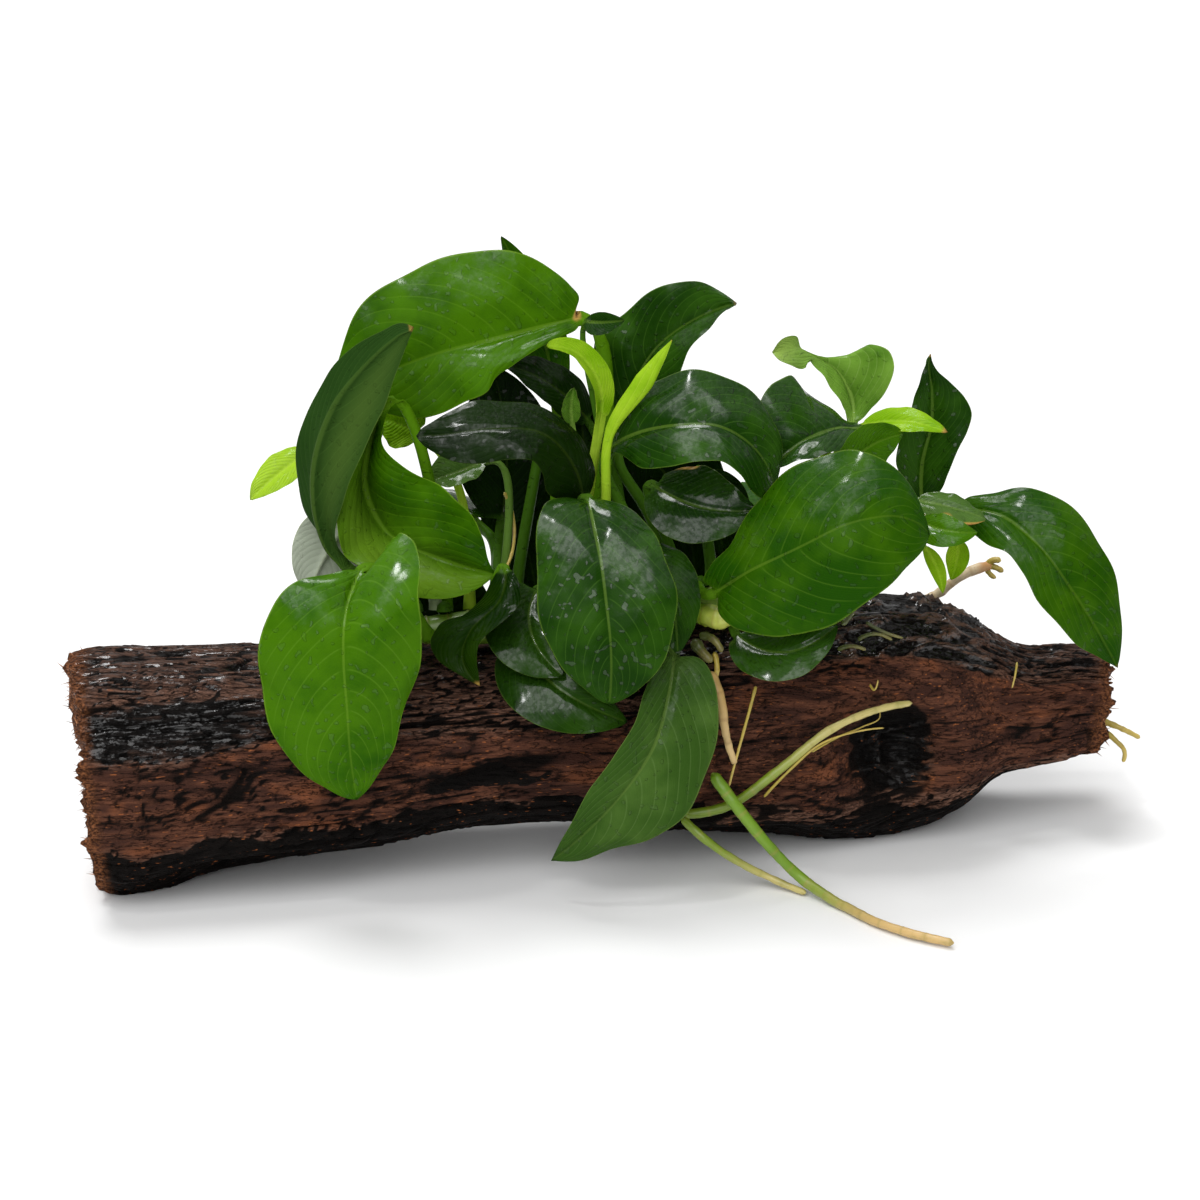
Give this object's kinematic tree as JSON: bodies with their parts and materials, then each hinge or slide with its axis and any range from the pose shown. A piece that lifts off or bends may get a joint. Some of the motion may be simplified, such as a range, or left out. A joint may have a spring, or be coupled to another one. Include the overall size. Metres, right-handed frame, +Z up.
{
  "type": "water plant on driftwood",
  "caption": "Small broad-leaved water plant whose creeping stem and bare roots grow on a dark, water-worn driftwood log.",
  "frame": {"origin": "on the ground, under the middle of the box that the log and the plant fill", "axes": "+X along the log towards its thinner end, +Y away from the side that the picture shows, +Z up"},
  "size_m": [0.2749, 0.113, 0.1512],
  "materials": {
    "wood": "dark, wet, deeply furrowed driftwood",
    "rhizome": "smooth green creeping stem",
    "root_green": "smooth green root",
    "root_tan": "smooth cream to tan root",
    "leaf_bright": "glossy bright green leaf",
    "leaf_fresh": "glossy mid green leaf",
    "leaf_dark": "glossy dark green leaf",
    "leaf_light": "glossy light green leaf",
    "leaf_lime": "satin yellow-green young leaf",
    "leaf_dull": "satin grey-green leaf",
    "leaf_back": "matte leaf underside",
    "leaf_silver": "pale silvery leaf underside"
  },
  "bodies": {
    "root": {"driftwood": "wood", "rhizome": "rhizome", "rhizome_tip": "leaf_lime", "new_leaf": "leaf_lime", "leaf_front_left": "leaf_fresh", "leaf_left_dark": "leaf_back", "leaf_left_cup": "leaf_bright", "leaf_top_left": "leaf_bright", "leaf_top_back": "leaf_fresh", "leaf_top_mid": "leaf_dark", "leaf_top_small": "leaf_dark", "leaf_mid_right": "leaf_dark", "leaf_droplet": "leaf_dark", "leaf_cup_right": "leaf_light", "leaf_yellow": "leaf_lime", "leaf_right_up": "leaf_dark", "leaf_front_right": "leaf_fresh", "leaf_behind_right": "leaf_fresh", "leaf_dried_edge": "leaf_dull", "leaf_right_low": "leaf_fresh", "leaf_far_right": "leaf_fresh", "leaf_strip": "leaf_lime", "leaf_pale_small": "leaf_lime", "leaf_front_mid": "leaf_dark", "leaf_behind_mid": "leaf_dark", "leaf_low_mid": "leaf_dull", "leaf_curled": "leaf_fresh", "leaf_low_left": "leaf_dark", "leaf_lowest": "leaf_dark", "leaf_under_right": "leaf_dark", "leaf_between": "leaf_dark", "leaf_mid_left": "leaf_dark", "leaf_far_left": "leaf_lime", "leaf_pale_back": "leaf_silver", "leaf_left_small": "leaf_dull", "leaf_left_bright": "leaf_lime", "leaf_bud": "leaf_light", "leaf_dark_inner": "leaf_dark", "leaf_sheath": "leaf_lime", "leaf_back_left": "leaf_dark", "leaf_back_mid": "leaf_dark", "leaf_back_high": "leaf_dark", "leaf_back_right": "leaf_fresh", "leaf_back_low": "leaf_dark", "root_front_long": "root_tan", "root_front_green": "root_green", "root_on_log": "root_green", "root_tan_short": "root_tan", "root_cream_back": "root_tan", "root_right_end": "root_tan", "root_right_fork": "root_tan"}
  },
  "joints": []
}
